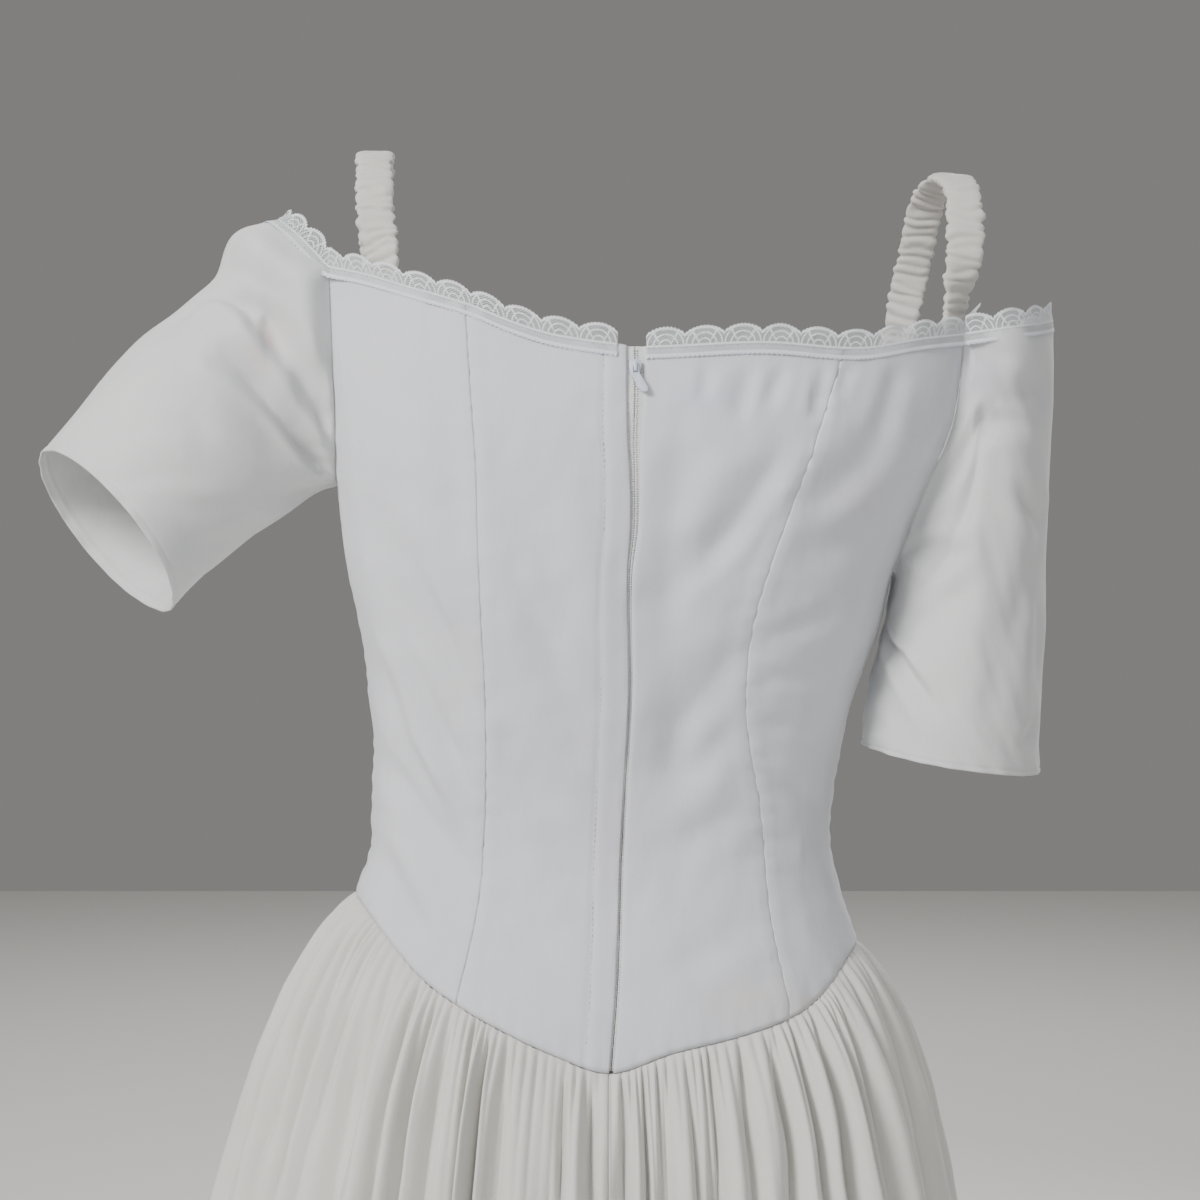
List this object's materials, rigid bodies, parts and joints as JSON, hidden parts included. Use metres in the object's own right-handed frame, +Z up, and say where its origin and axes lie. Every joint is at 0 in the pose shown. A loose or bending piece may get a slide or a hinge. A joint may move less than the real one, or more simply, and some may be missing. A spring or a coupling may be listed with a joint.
{
  "type": "wedding dress",
  "caption": "Long off-the-shoulder wedding dress in its worn form, with lace neckline, elbow sleeves, ruched straps, back zip, pointed waist and gathered skirt.",
  "frame": {"origin": "midway between the shoulders, at the height where the straps rest on them", "axes": "+Z up, +Y towards the dress's back, +X towards the wearer's left"},
  "size_m": [0.7839, 0.6512, 1.434],
  "materials": {
    "bodice_cotton": "plain-woven white cotton blend, matt with a soft sheen",
    "sleeve_cotton": "plain-woven white cotton blend, matt",
    "skirt_cotton": "plain-woven ivory cotton blend, matt",
    "strap_cotton": "ruched ivory cotton over elastic, matt",
    "lace": "white scalloped net lace",
    "zip_tape": "white woven tape",
    "zip_metal": "pale enamelled metal, satin"
  },
  "bodies": {
    "dress": {"side_back_left": "bodice_cotton", "centre_back_left": "bodice_cotton", "centre_back_right": "bodice_cotton", "side_back_right": "bodice_cotton", "side_front_right": "bodice_cotton", "centre_front": "bodice_cotton", "side_front_left": "bodice_cotton", "skirt_back_left": "skirt_cotton", "skirt_back_right": "skirt_cotton", "skirt_front": "skirt_cotton", "sleeve_left": "sleeve_cotton", "sleeve_right": "sleeve_cotton", "lace_trim": "lace", "strap_left": "strap_cotton", "strap_right": "strap_cotton", "zip_tape_left": "zip_tape", "zip_tape_right": "zip_tape", "zip_slider": "zip_metal"},
    "zip_pull": {"zip_pull": "zip_metal"}
  },
  "joints": [
    {"name": "zip_pull_hinge", "type": "hinge", "parent": "dress", "child": "zip_pull", "pos_m": [-0.00985, 0.09675, -0.12243], "axis": [1, 0, 0], "range_deg": [0, 160]}
  ]
}
